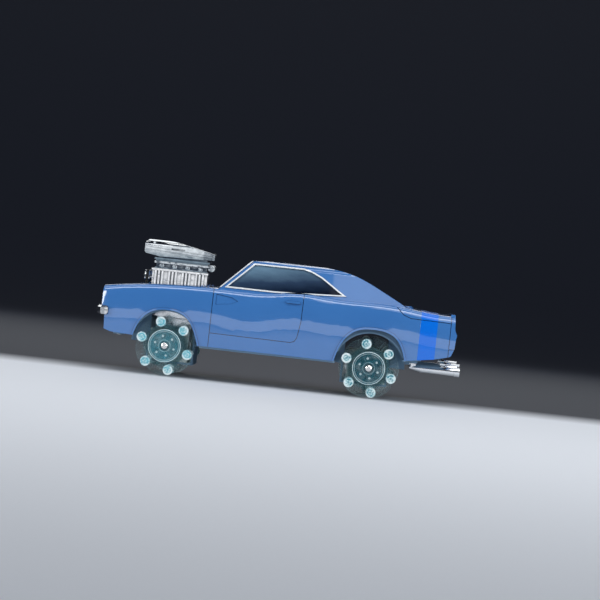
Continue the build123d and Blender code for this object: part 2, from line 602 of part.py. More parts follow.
for y in (-transit_spacing / 2, transit_spacing / 2):
    boss = pin_z(board_x, y, floor_low, floor_low + 8, 3.6)
    chassis = chassis + boss - pin_z(board_x, y, floor_low - 1, floor_low + 6.5,
                                     transit_hole_radius)
tab = body_block(112, 119, 31, 41, 7.4, 11)
chassis = chassis + both_sides(tab & lower_body(-shell_wall - slide_gap))
export(chassis, "chassis")

# --- Battery pack, its cover, the switch, the board
cell_floor = floor_low + floor_thickness + 0.95
cell_y = cell_radius - 0.15
cells = join([pin_x(y, cell_floor + cell_radius, bay_x0 + 1.2, bay_x0 + 1.2 + cell_length,
                    cell_radius) for y in (-cell_y, cell_y)])
cells = cells + block(bay_x0 + 2.0, bay_x0 + cell_length, -cell_y, cell_y, cell_floor + 1.0,
                      cell_floor + 2 * cell_radius - 1.0)
cells = cells + block(bay_x0 + cell_length, bay_x0 + cell_length + 3.6, -8, 8,
                      cell_floor + 2.0, cell_floor + 10.0)
export(cells, "battery_pack")

cover = block(bay_x0 - 2.6, bay_x1 + 2.6, -bay_y - 2.6, bay_y + 2.6, floor_low - 0.9,
              floor_low + 0.7)
cover = cover + block(bay_x0 + 1.0, bay_x1 - 1.0, -bay_y + 1.0, bay_y - 1.0, floor_low + 0.6,
                      floor_low + floor_thickness + 0.5)
cover = cover - block(bay_x0 + 2.4, bay_x1 - 2.4, -bay_y + 2.4, bay_y - 2.4, floor_low + 0.8,
                      floor_low + 6)
for k in range(5):
    cover = cover - block(bay_x0 + 3 + 1.8 * k, bay_x0 + 3.9 + 1.8 * k, -8, 8, floor_low - 1,
                          floor_low - 0.5)
export(cover, "battery_cover")

knob = block(switch_x - 4.9, switch_x + 4.9, switch_y - 1.65, switch_y + 1.65, floor_low - 1.2,
             floor_low + floor_thickness + 0.2)
knob = knob + block(switch_x - 6.4, switch_x + 6.4, switch_y - 3.4, switch_y + 3.4,
                    floor_low + floor_thickness + 0.2, floor_low + floor_thickness + 2.6)
for k in (-2, -1, 0, 1, 2):
    knob = knob - block(switch_x + 1.5 * k - 0.35, switch_x + 1.5 * k + 0.35, switch_y - 3,
                        switch_y + 3, floor_low - 2, floor_low - 0.8)
export(knob, "power_switch")

board = block(board_x - board_length / 2, board_x + board_length / 2, -board_width / 2,
              board_width / 2, board_z + 0.05, board_z + 0.05 + board_thickness)
top = board_z + 0.05 + board_thickness
parts_on_board = [(-14, 6, 12, 10, 1.6), (6, 10, 8, 6, 1.2), (6, -8, 8, 6, 1.2), (-20, -11, 5, 9, 5),
                  (19, 0, 5, 26, 6.4), (-3, -13, 3.6, 9, 3.0), (12, 1, 4, 4, 4.4)]
for u, v, long, wide, tall in parts_on_board:
    board = board + block(board_x + u - long / 2, board_x + u + long / 2, v - wide / 2,
                          v + wide / 2, top - 0.1, top + tall)
board = board + pin_z(board_x - 20, 13, top - 0.1, top + 6.5, 2.5)
export(board, "circuit_board")

# --- Exhaust: a big slash-cut pipe with a small nozzle above it, each side
pipe_y, pipe_z = wy(36), hz(3.8)
pipe_r = 3.3
pipe = pin_x(pipe_y, pipe_z, sx(122), sx(151.5), pipe_r)
pipe = pipe + Pos(sx(122), pipe_y, pipe_z) * Rot(0, -90, 0) * Cone(
    pipe_r, 1.2, sx(122) - sx(113), align=(Align.CENTER, Align.CENTER, Align.MIN))
pipe = pipe + pin_x(pipe_y, pipe_z, sx(148.8), sx(153), pipe_r + 0.35)
pipe = pipe - pin_x(pipe_y, pipe_z, sx(128), sx(160), pipe_r - 0.8)
nozzle = pin_x(pipe_y, hz(9.2), sx(138), sx(152.4), 1.0) + pin_x(
    pipe_y, hz(9.2), sx(137), sx(141), 1.9)
nozzle = nozzle + block(sx(138), sx(140), pipe_y - 1, pipe_y + 1, pipe_z + pipe_r - 0.5, hz(9.2))
hanger = block(sx(114), sx(118), pipe_y - 1.6, pipe_y + 1.6, pipe_z, hz(7.4) - 0.1)
export(both_sides(pipe + nozzle + hanger), "exhaust_pipes")

# --- Fasteners under the floor
screws = []
for s, y in boss_spots:
    x, z = sx(s), hz(boss_floor[s]) - 0.2
    screw = pin_z(x, wy(y), z - 2.6, z + 6.0, pilot_radius - 0.02)
    screw = screw + pin_z(x, wy(y), z - 4.0, z - 2.42, screw_head_radius)
    for turn in (0, 90):
        screw = screw - Pos(x, wy(y), z - 4.0) * Rot(0, 0, turn) * Box(3.0, 0.6, 1.2)
    screws += screw.solids()
export(Compound(children=screws), "chassis_screws")


# --- Gear train
def involute_gear(teeth, width, thin):
    m, alpha = tooth_module, math.radians(pressure_angle)
    pitch = m * teeth / 2
    base = pitch * math.cos(alpha)
    tip, root = pitch + 0.75 * m, pitch - 0.95 * m
    inv = math.tan(alpha) - alpha
    half = math.pi / (2 * teeth) - thin / (2 * pitch) / 2
    points = []
    start = max(base, root)
    for k in range(teeth):
        centre = 2 * math.pi * k / teeth
        flank = []
        for j in range(4):
            r = start + (tip - start) * j / 3
            roll = math.acos(base / r)
            flank.append((r, half + inv - (math.tan(roll) - roll)))
        side = [(root, flank[0][1] + 0.01)] + flank if root < base else flank
        points += [(r, centre - a) for r, a in side] + [(r, centre + a) for r, a in reversed(side)]
    face = Face(Wire.make_polygon([Vector(r * math.cos(a), r * math.sin(a), 0)
                                   for r, a in points], close=True))
    return extrude(face, amount=width)


gear_centre = tooth_module * (gear_teeth + pinion_teeth) / 2 + 0.03
gear_low = half_wheel + 3.6           # from the wheel centre towards the middle of the car
gear = involute_gear(gear_teeth, gear_width, backlash)
pinion = involute_gear(pinion_teeth, gear_width + 0.6, backlash)

# --- Wheel in its own frame: axis Z, outer face +Z
roller_lean = math.radians(roller_tilt)
wheel_radius = wheel_diameter / 2


def roller_profile(gap):
    steps = [roller_half * k / 6 for k in range(-6, 7)]
    curve = [Vector(wheel_radius - math.hypot(roller_core, s * math.sin(roller_lean)) + gap, 0, s)
             for s in steps]
    low, high = Vector(0, 0, -roller_half - gap), Vector(0, 0, roller_half + gap)
    if gap:
        curve = ([Vector(curve[0].X, 0, low.Z)] + curve + [Vector(curve[-1].X, 0, high.Z)])
        return Face(Wire.make_polygon([low] + curve + [high], close=True))
    return Face(Wire([Edge.make_line(low, curve[0]), Edge.make_spline(curve),
                      Edge.make_line(curve[-1], high), Edge.make_line(high, low)]))


def roller_place(hand, angle):
    return (Rot(0, 0, angle) * Pos(roller_core, 0, 0)
            * Rot(-hand * roller_tilt, 0, 0))


def roller_shape():
    barrel = revolve(roller_profile(0), axis=Axis.Z, revolution_arc=360)
    stub = Cylinder(stub_radius, 2 * (roller_half + stub_length))
    flutes = [Pos(0, 0, s) * (Cylinder(9, 0.5) - Cylinder(
        wheel_radius - math.hypot(roller_core, s * math.sin(roller_lean)) - 0.35, 0.6))
        for s in (-7.5, -4.5, -1.5, 1.5, 4.5, 7.5)]
    return (barrel - join(flutes)) + stub


roller = roller_shape()
roller_room = revolve(roller_profile(roller_gap), axis=Axis.Z, revolution_arc=360)
roller_room = roller_room + Cylinder(stub_radius + running_gap, 2 * (roller_half + stub_length + 0.15))


def disc(radius, z0, z1):
    return Pos(0, 0, z0) * Cylinder(radius, z1 - z0, align=(Align.CENTER, Align.CENTER, Align.MIN))


def ear_ring(hand, phase, z0, z1, turn):
    ears = []
    lean = hand * turn * 25.5
    for k in range(roller_count):
        a = math.radians(phase + lean + 360 * k / roller_count)
        reach_r = 0.805 * wheel_radius
        ears.append(Pos(reach_r * math.cos(a), reach_r * math.sin(a), z0) * Cylinder(
            ear_radius, z1 - z0, align=(Align.CENTER, Align.CENTER, Align.MIN)))
    return join(ears)


def web_plate(hand, phase, z0, z1, turn):
    corner = 0.805 * wheel_radius
    angles = [math.radians(phase + hand * turn * 25.5 + 360 * k / roller_count)
              for k in range(roller_count)]
    face = Face(Wire.make_polygon([Vector(corner * math.cos(a), corner * math.sin(a), z0)
                                   for a in angles], close=True))
    return extrude(face, amount=z1 - z0)


def clear_rollers(shape, hand, phase):
    for k in range(roller_count):
        shape = shape - roller_place(hand, phase + 360 * k / roller_count) * roller_room
    return shape


def hub_outer(hand, phase):
    face_z = half_wheel
    body = disc(hub_radius, 0.05, face_z) - disc(hub_radius - hub_skin, -1, face_z - hub_skin)
    body = body + disc(4.2, 0.05, face_z)
    for k in range(6):
        a = phase + 25.5 * hand + 60 * k
        body = body + Rot(0, 0, a) * block(4, hub_radius - 0.5, -0.5, 0.5, 5.5, face_z - 0.5)
    body = body + web_plate(hand, phase, face_z - 1.6, face_z, 1)
    for k in range(6):
        a = phase + 25.5 * hand + 60 * k
        body = body + Rot(0, 0, a) * block(hub_radius - 1, 0.805 * wheel_radius, -0.5, 0.5,
                                           face_z - 4.4, face_z - 1)
    body = body + ear_ring(hand, phase, half_wheel - 4.6, face_z + 0.35, 1)
    rim_r = 0.53 * wheel_radius
    body = body + (disc(rim_r, face_z - 0.2, face_z + rim_height)
                   - disc(rim_r - 0.9, face_z - 1, face_z + 1))
    body = body + (disc(rim_r - 1.4, face_z - 0.2, face_z + 0.35)
                   - disc(rim_r - 2.0, face_z - 1, face_z + 1))
    body = body + (disc(4.1, face_z - 0.2, face_z + 0.4) - disc(3.3, face_z - 1, face_z + 1))
    body = body - disc(3.3, face_z - 0.8, face_z + 1)
    for k in range(6):
        a = math.radians(phase + 60 * k + 12)
        body = body - Pos(7.7 * math.cos(a), 7.7 * math.sin(a), 0) * disc(1.35, face_z - 0.7,
                                                                      face_z + 1)
    body = clear_rollers(body, hand, phase)
    body = body & disc(wheel_radius - 0.7, -1, face_z + 2)
    return body - disc(2.7, -1, 6.6) - disc(wheel_screw_radius + 0.1, -1, face_z + 1)


def hub_inner(hand, phase):
    face_z = -half_wheel
    body = disc(hub_radius, face_z, -0.05) - disc(hub_radius - hub_skin, face_z + hub_skin, 1)
    body = body + web_plate(hand, phase, face_z, face_z + 1.6, -1)
    body = body + ear_ring(hand, phase, face_z, -half_wheel + 4.6, -1)
    for k in range(6):
        a = phase - 25.5 * hand + 60 * k
        body = body + Rot(0, 0, a) * block(2, hub_radius - 0.5, -0.5, 0.5, face_z + 0.5, -5.5)
    body = body + disc(4.2, face_z, -0.05)
    body = clear_rollers(body, hand, phase)
    body = body & disc(wheel_radius - 0.7, face_z - 2, 1)
    body = body + disc(2.65, face_z, 6.4)
    body = body + disc(axle_radius, -gear_low - gear_width - 2.6, face_z + 0.1)
    body = body + Pos(0, 0, -gear_low - gear_width) * gear
    return body - disc(pilot_radius, -6, 7)


def wheel_screw():
    seat = half_wheel - 0.8
    screw = disc(wheel_screw_radius - 0.25, -4, seat + 0.1) + disc(wheel_screw_head, seat, seat + 1.0)
    screw = screw + (Pos(0, 0, seat + 1.0) * Cone(wheel_screw_head, 1.5, 0.5, align=(
        Align.CENTER, Align.CENTER, Align.MIN)))
    for turn in (20, 110):
        screw = screw - Pos(0, 0, seat + 1.5) * Rot(0, 0, turn) * Box(2.9, 0.7, 1.4)
    return screw


def place_wheel(shape, axle_x, right):
    placed = Pos(axle_x, -wheel_y, axle_z) * Rot(90, 0, 0) * shape
    return mirror(placed, about=Plane.XZ) if right else placed


corner_data = [("front", x_front, 1, 18.5), ("rear", x_rear, -1, 66.5)]
housings, motors = [], []
for end, axle_x, hand, phase in corner_data:
    inward = hand
    outer, inner, screw = hub_outer(hand, phase), hub_inner(hand, phase), wheel_screw()
    # the pinion sits beside the gear with a tooth gap facing a tooth
    pinion_x = axle_x + inward * gear_centre
    near = 0 if inward > 0 else 180
    mesh_turn = near + 180 + 180 / pinion_teeth
    z0 = -gear_low - gear_width - 0.3
    train = Pos(inward * gear_centre, 0, z0) * Rot(0, 0, mesh_turn) * pinion
    train = train + Pos(inward * gear_centre, 0, 0) * disc(
        motor_shaft_radius, z0 - 12.5, z0 + gear_width + 1.6)
    for right in (False, True):
        tag = end + ("_right" if right else "_left")
        export(place_wheel(outer, axle_x, right), f"hub_outer_{tag}")
        export(place_wheel(inner, axle_x, right), f"hub_inner_{tag}")
        export(place_wheel(screw, axle_x, right), f"wheel_screw_{tag}")
        export(place_wheel(train, axle_x, right), f"pinion_{tag}")
        for k in range(roller_count):
            spot = roller_place(hand, phase + 360 * k / roller_count)
            export(place_wheel(spot * roller, axle_x, right), f"roller_{tag}_{k + 1}")

    # clamshell housing around the gears, split on the axle plane
    near_z = -half_wheel - 0.85
    far_z = -gear_low - gear_width - 0.6 - housing_wall - 0.6
    reach_x = gear_centre + tooth_module * pinion_teeth / 2 + 2.4
    low_x, high_x = sorted((-inward * (pod_out - 0.1), inward * reach_x))
    h = housing_half_height - 0.05
    case_box = block(low_x, high_x, -h, h, far_z, near_z)
    gear_room = disc(tooth_module * gear_teeth / 2 + 1.0, far_z + housing_wall, near_z - housing_wall)
    pinion_room = Pos(inward * gear_centre, 0, 0) * disc(
        tooth_module * pinion_teeth / 2 + 0.9, far_z + housing_wall, near_z - housing_wall)
    case_box = case_box - gear_room - pinion_room
    case_box = case_box - disc(axle_radius + running_gap, -40, 0)
    case_box = case_box - Pos(inward * gear_centre, 0, 0) * disc(
        motor_shaft_radius + running_gap, -60, 0)
    halves = (case_box & block(-60, 60, 0.02, 40, -60, 0),
              case_box & block(-60, 60, -40, -0.02, -60, 0))
    can = Pos(inward * gear_centre, 0, 0) * disc(motor_radius, far_z - motor_length, far_z - 0.05)
    can = can & block(-40, 40, -motor_flat, motor_flat, -90, 0)
    can = can + Pos(inward * gear_centre, 0, 0) * disc(2.4, far_z - motor_length - 0.8,
                                                       far_z - motor_length + 0.1)
    can = can - Pos(inward * gear_centre, 0, 0) * disc(motor_shaft_radius + running_gap,
                                                       z0 - 13, 0)
    for right in (False, True):
        housings += [place_wheel(half, axle_x, right) for half in halves]
        motors.append(place_wheel(can, axle_x, right))
export(Compound(children=[s for h in housings for s in h.solids()]), "gear_housings")
export(Compound(children=[s for m in motors for s in m.solids()]), "motors")
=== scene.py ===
import bmesh
import bpy
import math
from mathutils import Matrix, Vector


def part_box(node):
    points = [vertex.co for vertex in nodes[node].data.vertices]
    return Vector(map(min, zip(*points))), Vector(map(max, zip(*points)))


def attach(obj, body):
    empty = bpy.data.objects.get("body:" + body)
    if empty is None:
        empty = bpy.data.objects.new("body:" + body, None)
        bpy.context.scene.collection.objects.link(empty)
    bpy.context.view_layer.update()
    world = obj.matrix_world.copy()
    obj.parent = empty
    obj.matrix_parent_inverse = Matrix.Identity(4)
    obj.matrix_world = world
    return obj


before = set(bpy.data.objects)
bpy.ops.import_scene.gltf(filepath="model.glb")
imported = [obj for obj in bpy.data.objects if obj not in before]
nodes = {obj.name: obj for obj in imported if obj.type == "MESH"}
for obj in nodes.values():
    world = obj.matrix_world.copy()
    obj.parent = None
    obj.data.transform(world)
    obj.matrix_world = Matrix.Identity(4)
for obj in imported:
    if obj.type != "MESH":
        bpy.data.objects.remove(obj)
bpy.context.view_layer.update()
print("frame loaded:", len(nodes), "CAD nodes")


# small helpers for materials

def tone(red, green, blue):
    # sRGB 0-255 to the linear values a socket takes
    def lift(v):
        v = v / 255
        return v / 12.92 if v <= 0.04045 else ((v + 0.055) / 1.055) ** 2.4
    return (lift(red), lift(green), lift(blue), 1.0)


socketNames = {"base": "Base Color", "metal": "Metallic", "ior": "IOR", "coat": "Coat Weight",
               "coatRough": "Coat Roughness", "specular": "Specular IOR Level",
               "clear": "Transmission Weight", "under": "Subsurface Weight"}


def startMaterial(name, **sockets):
    material = bpy.data.materials.new(name)
    material.use_nodes = True
    tree = material.node_tree
    shader = next(n for n in tree.nodes if n.type == "BSDF_PRINCIPLED")
    for key, value in sockets.items():
        shader.inputs[socketNames[key]].default_value = value
    return material, tree, shader


def feed(tree, value, socket):
    if isinstance(value, bpy.types.NodeSocket):
        tree.links.new(value, socket)
    else:
        socket.default_value = value


def calc(tree, operation, a, b=0.0, c=None):
    node = tree.nodes.new("ShaderNodeMath")
    node.operation = operation
    feed(tree, a, node.inputs[0])
    feed(tree, b, node.inputs[1])
    if c is not None:
        feed(tree, c, node.inputs[2])
    return node.outputs[0]


def place(tree, scale=(1, 1, 1), shift=(0, 0, 0)):
    coords = tree.nodes.new("ShaderNodeTexCoord")
    mapping = tree.nodes.new("ShaderNodeMapping")
    mapping.inputs["Scale"].default_value = scale
    mapping.inputs["Location"].default_value = shift
    tree.links.new(coords.outputs["Object"], mapping.inputs["Vector"])
    return mapping.outputs[0]


def axes(tree):
    coords = tree.nodes.new("ShaderNodeTexCoord")
    split = tree.nodes.new("ShaderNodeSeparateXYZ")
    tree.links.new(coords.outputs["Object"], split.inputs[0])
    return split.outputs


def noise(tree, vector, scale, detail=3.0, rough=0.5):
    node = tree.nodes.new("ShaderNodeTexNoise")
    node.inputs["Scale"].default_value = scale
    node.inputs["Detail"].default_value = detail
    node.inputs["Roughness"].default_value = rough
    tree.links.new(vector, node.inputs["Vector"])
    return node.outputs["Fac"]


def spread(tree, value, low, high, fromLow=0.3, fromHigh=0.7):
    node = tree.nodes.new("ShaderNodeMapRange")
    feed(tree, value, node.inputs["Value"])
    node.inputs["From Min"].default_value = fromLow
    node.inputs["From Max"].default_value = fromHigh
    node.inputs["To Min"].default_value = low
    node.inputs["To Max"].default_value = high
    return node.outputs[0]


def blendTones(tree, factor, first, second):
    node = tree.nodes.new("ShaderNodeMix")
    node.data_type = "RGBA"
    feed(tree, factor, node.inputs[0])
    feed(tree, first, node.inputs[6])
    feed(tree, second, node.inputs[7])
    return node.outputs[2]


def emboss(tree, shader, height, depth):
    node = tree.nodes.new("ShaderNodeBump")
    node.inputs["Strength"].default_value = 1.0
    node.inputs["Distance"].default_value = depth
    tree.links.new(height, node.inputs["Height"])
    tree.links.new(node.outputs[0], shader.inputs["Normal"])


def paintedCreviceShade(tree, reachOut, low=0.0, high=1.0):
    # painted shade mask: 0 on open surfaces, 1 down in grooves and corners, where shade is painted
    # in
    node = tree.nodes.new("ShaderNodeAmbientOcclusion")
    node.samples = 8
    node.only_local = False
    node.inputs["Distance"].default_value = reachOut
    return spread(tree, node.outputs["AO"], 1.0, 0.0, low, high)


def paintedEdgeHighlight(tree, reachIn, low=0.0, high=1.0):
    # painted edge highlight mask: 1 along outside edges and thin walls, 0 deep in the solid
    node = tree.nodes.new("ShaderNodeAmbientOcclusion")
    node.samples = 8
    node.inside = True
    node.only_local = True
    node.inputs["Distance"].default_value = reachIn
    return spread(tree, node.outputs["AO"], 0.0, 1.0, low, high)


# where things are, from the CAD

def middle(node):
    low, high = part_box(node)
    return (Vector(low) + Vector(high)) / 2


frontHub, rearHub = middle("hub_outer_front_left"), middle("hub_outer_rear_left")
wheelSpan = rearHub.x - frontHub.x


def along(share):
    # x at a share of the way from the front axle to the rear one
    return frontHub.x + share * wheelSpan


# body paint: gloss blue with an azure band across the tail, and painted shade in its grooves

bodyPaint = {
    "blue": tone(62, 119, 184), "blueDeep": tone(52, 109, 175), "band": tone(0, 108, 218),
    # the groove colour is painted shade for shut lines and recesses
    "paintedGrooveShade": tone(12, 34, 74),
    "bandFrom": 1.2284, "bandTo": 1.3118, "roughness": (0.13, 0.2),
    "peelSize": 520, "peelDepth": 0.00002,
}


def makeBodyPaint(p):
    material, tree, shader = startMaterial("bodyPaint", coat=0.8, coatRough=0.03, ior=1.5,
                                           specular=0.3)
    shader.inputs["Coat IOR"].default_value = 1.85
    x, y, z = axes(tree)
    band = calc(tree, "MULTIPLY", calc(tree, "GREATER_THAN", x, along(p["bandFrom"])),
                calc(tree, "LESS_THAN", x, along(p["bandTo"])))
    drift = noise(tree, place(tree), 22, 4)
    blue = blendTones(tree, drift, p["blue"], p["blueDeep"])
    painted = blendTones(tree, band, blue, p["band"])
    feed(tree, spread(tree, band, 1.0, 0.4, 0, 1), shader.inputs["Coat Weight"])
    # painted shade: grooves, shut lines and recesses are darkened towards the groove colour
    paintedShutShade = paintedCreviceShade(tree, 0.0009, 0.45, 0.8)
    feed(tree, blendTones(tree, paintedShutShade, painted, p["paintedGrooveShade"]), shader.inputs["Base Color"])
    smear = noise(tree, place(tree, (1, 1, 2.4)), 95, 5, 0.6)
    feed(tree, spread(tree, smear, *p["roughness"]), shader.inputs["Roughness"])
    peel = noise(tree, place(tree), p["peelSize"], 2)
    edge = calc(tree, "ADD", peel, calc(tree, "MULTIPLY", band, 2.0))
    emboss(tree, shader, edge, p["peelDepth"])
    return material


# smoked glazing, near black, with a painted reflection: lighter towards the top and the front

glazing = {"paintedReflection": tone(98, 128, 150), "smoke": tone(42, 60, 84), "smokeDeep": tone(3, 14, 34),
           "roughness": (0.03, 0.09)}


def makeGlazing(p):
    material, tree, shader = startMaterial("smokedGlazing", ior=1.45, specular=0.35)
    low, high = (Vector(v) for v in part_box("window_glazing"))
    x, y, z = axes(tree)
    # painted reflection: the colour runs from the deep smoke low at the rear up to a pale tone at
    # the top front
    rise = spread(tree, z, 0, 1, low.z, high.z)
    run = spread(tree, x, 0, 1, low.x, high.x)
    paintedReflectionRamp = calc(tree, "SUBTRACT", calc(tree, "MULTIPLY", rise, 1.2),
                calc(tree, "MULTIPLY", run, 1.1))
    cloud = noise(tree, place(tree, (1, 1, 3), (0.02, 0, 0)), 38, 4, 0.6)
    paintedReflectionRamp = calc(tree, "ADD", paintedReflectionRamp, calc(tree, "MULTIPLY", calc(tree, "SUBTRACT", cloud, 0.5), 0.5))
    base = blendTones(tree, spread(tree, paintedReflectionRamp, 0, 1, -0.35, 0.15), p["smokeDeep"], p["smoke"])
    feed(tree, blendTones(tree, spread(tree, paintedReflectionRamp, 0, 1, 0.15, 0.75), base, p["paintedReflection"]),
         shader.inputs["Base Color"])
    feed(tree, spread(tree, noise(tree, place(tree), 140, 4), *p["roughness"]),
         shader.inputs["Roughness"])
    emboss(tree, shader, noise(tree, place(tree), 60, 1), 0.00004)
    return material


# vacuum plated plastic, with painted shade in its recesses

plating = {"bright": (0.94, 0.955, 0.96, 1), "dull": (0.78, 0.83, 0.87, 1), "metal": 1.0,
           "shade": tone(22, 38, 56), "roughness": (0.08, 0.2), "ripple": 0.0000016,
           "deepest": 0.0012}
satin = {"bright": (0.86, 0.9, 0.93, 1), "dull": (0.74, 0.79, 0.84, 1), "metal": 0.3,
         "shade": tone(40, 60, 90), "roughness": (0.18, 0.3), "ripple": 0.0000012,
         "deepest": 0.0004}


def makePlating(name, p):
    material, tree, shader = startMaterial(name, metal=p["metal"])
    stain = noise(tree, place(tree), 160, 5, 0.6)
    metal = blendTones(tree, spread(tree, stain, 0, 1, 0.45, 0.8), p["bright"], p["dull"])
    # painted shade: recesses are darkened towards the shade colour
    feed(tree, blendTones(tree, paintedCreviceShade(tree, p["deepest"], 0.25, 0.85), metal, p["shade"]),
         shader.inputs["Base Color"])
    feed(tree, spread(tree, noise(tree, place(tree), 320, 4), *p["roughness"]),
         shader.inputs["Roughness"])
    emboss(tree, shader, noise(tree, place(tree), 260, 2), p["ripple"])
    return material


# plated blower pieces with painted light: a painted highlight on top, painted shade low down, and
# fine painted reflection streaks

scoopLook = {"top": tone(246, 250, 252), "side": tone(236, 242, 245), "low": tone(128, 146, 158),
             "from": 0.12, "to": 0.62, "paintedReflectionStreak": tone(96, 116, 130), "stretch": 0.08,
             "fine": 420, "share": (0.54, 0.66)}
injectorLook = {"top": tone(232, 238, 242), "side": tone(224, 231, 236), "low": tone(150, 168, 180),
                "from": 0.0, "to": 0.5, "paintedReflectionStreak": tone(44, 60, 76), "stretch": 0.3,
                "fine": 700, "share": (0.5, 0.57)}
caseLook = {"top": tone(240, 244, 247), "side": tone(252, 253, 254), "low": tone(236, 240, 244),
            "from": 0.2, "to": 0.5, "paintedReflectionStreak": tone(90, 106, 122), "stretch": 0.6,
            "fine": 480, "share": (0.6, 0.68)}


def makeEnginePlate(name, node, p, deepest):
    material, tree, shader = startMaterial(name, metal=1.0)
    low, high = (Vector(v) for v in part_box(node))
    height = spread(tree, axes(tree)[2], 0, 1, low.z, high.z)
    up = tree.nodes.new("ShaderNodeSeparateXYZ")
    tree.links.new(tree.nodes.new("ShaderNodeTexCoord").outputs["Normal"], up.inputs[0])
    # painted shade: the flanks darken towards the bottom of the part
    paintedFlankShade = blendTones(tree, spread(tree, height, 0, 1, p["from"], p["to"]), p["low"], p["side"])
    # painted highlight: up-facing faces turn to the pale top tone
    paintedFlankShade = blendTones(tree, spread(tree, up.outputs["Z"], 0, 1, 0.45, 0.8), paintedFlankShade, p["top"])
    # painted reflection streaks: dark bands stretched along x
    paintedReflectionStreak = noise(tree, place(tree, (p["stretch"], 1, 1)), p["fine"], 4, 0.6)
    metal = blendTones(tree, spread(tree, paintedReflectionStreak, 0, 0.8, *p["share"]), paintedFlankShade, p["paintedReflectionStreak"])
    # painted shade in recesses
    feed(tree, blendTones(tree, paintedCreviceShade(tree, deepest, 0.3, 0.9), metal, plating["shade"]),
         shader.inputs["Base Color"])
    feed(tree, spread(tree, noise(tree, place(tree), 320, 4), 0.1, 0.24),
         shader.inputs["Roughness"])
    emboss(tree, shader, noise(tree, place(tree), 260, 2), 0.000004)
    return material


# blower drive: black toothed belt on plated pulleys

driveLook = {"belt": tone(34, 35, 38), "beltWorn": tone(20, 21, 23), "rib": 0.0016,
             "noseTo": 0.0009, "tailFrom": 0.0031, "ribDepth": 0.00012}


def makeDrive(p):
    material, tree, shader = startMaterial("blowerDrive", base=plating["bright"])
    low, high = (Vector(v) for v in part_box("blower_drive"))
    x, y, z = axes(tree)
    nose = calc(tree, "LESS_THAN", x, low.x + p["noseTo"])
    tail = calc(tree, "GREATER_THAN", x, low.x + p["tailFrom"])
    plated = calc(tree, "MAXIMUM", nose, tail)
    ribs = calc(tree, "SINE", calc(tree, "MULTIPLY", z, 2 * math.pi / p["rib"]))
    worn = noise(tree, place(tree), 700, 3)
    belt = blendTones(tree, worn, p["belt"], p["beltWorn"])
    feed(tree, blendTones(tree, plated, belt, plating["bright"]), shader.inputs["Base Color"])
    feed(tree, plated, shader.inputs["Metallic"])
    feed(tree, spread(tree, plated, 0.55, 0.14, 0, 1), shader.inputs["Roughness"])
    emboss(tree, shader, calc(tree, "MULTIPLY", ribs, spread(tree, plated, 1, 0, 0, 1)),
           p["ribDepth"])
    return material


# moulded plastics with a fine grain

def makeMoulded(name, light, dark, roughness, grain=900, grainDepth=0.00003, ior=1.5, **sockets):
    material, tree, shader = startMaterial(name, ior=ior, **sockets)
    cloud = noise(tree, place(tree), 40, 4)
    feed(tree, blendTones(tree, cloud, light, dark), shader.inputs["Base Color"])
    feed(tree, spread(tree, noise(tree, place(tree), 240, 4), *roughness),
         shader.inputs["Roughness"])
    emboss(tree, shader, noise(tree, place(tree), grain, 3, 0.65), grainDepth)
    return material


# clear tinted wheel halves, frosted and paler on their ears, with painted highlights on ring lines,
# edges, dimples and ear rims, and painted shade on the far side of each ear

# first: the turn of one ear from the x axis, in degrees
# front and rear are one clear plastic: their different tint and ear tones are lit and shaded
# copies, painted light
wheelTint = {
    "front": {"hub": frontHub, "first": 44.0, "tint": tone(98, 190, 208),
              "ear": tone(180, 222, 228), "pale": tone(240, 254, 255)},
    "rear": {"hub": rearHub, "first": 41.0, "tint": tone(0, 132, 152),
             "ear": tone(194, 230, 234), "pale": tone(240, 254, 255)},
}
hubLook = {"disc": 0.0127, "ringWidth": 0.0003, "innerRing": 0.0114, "innerWidth": 0.00026,
           "boss": 0.0046, "bossWidth": 0.0004, "dimples": 0.0078, "dimpleSize": 0.0009,
           "web": tone(96, 170, 182)}
earSpot = {"reach": 0.01932, "radius": 0.0041, "paintedRim": 0.0033, "rimWidth": 0.0009, "ring": 0.0024,
           "ringWidth": 0.0006, "heart": (0.0006, 0.001), "roughness": (0.06, 0.2)}


def spot(tree, reach, turn, out, size, soft=0.0003):
    # 1 inside a round spot at that radius on each sixth of the wheel
    ex = calc(tree, "SUBTRACT", calc(tree, "MULTIPLY", reach, calc(tree, "COSINE", turn)), out)
    ez = calc(tree, "MULTIPLY", reach, calc(tree, "SINE", turn))
    off = calc(tree, "SQRT", calc(tree, "ADD", calc(tree, "MULTIPLY", ex, ex),
                                  calc(tree, "MULTIPLY", ez, ez)))
    return spread(tree, off, 1.0, 0.0, size - soft, size + soft), off


def ringLine(tree, reach, radius, width):
    off = calc(tree, "ABSOLUTE", calc(tree, "SUBTRACT", reach, radius))
    return spread(tree, off, 1.0, 0.0, width * 0.5, width * 1.2)


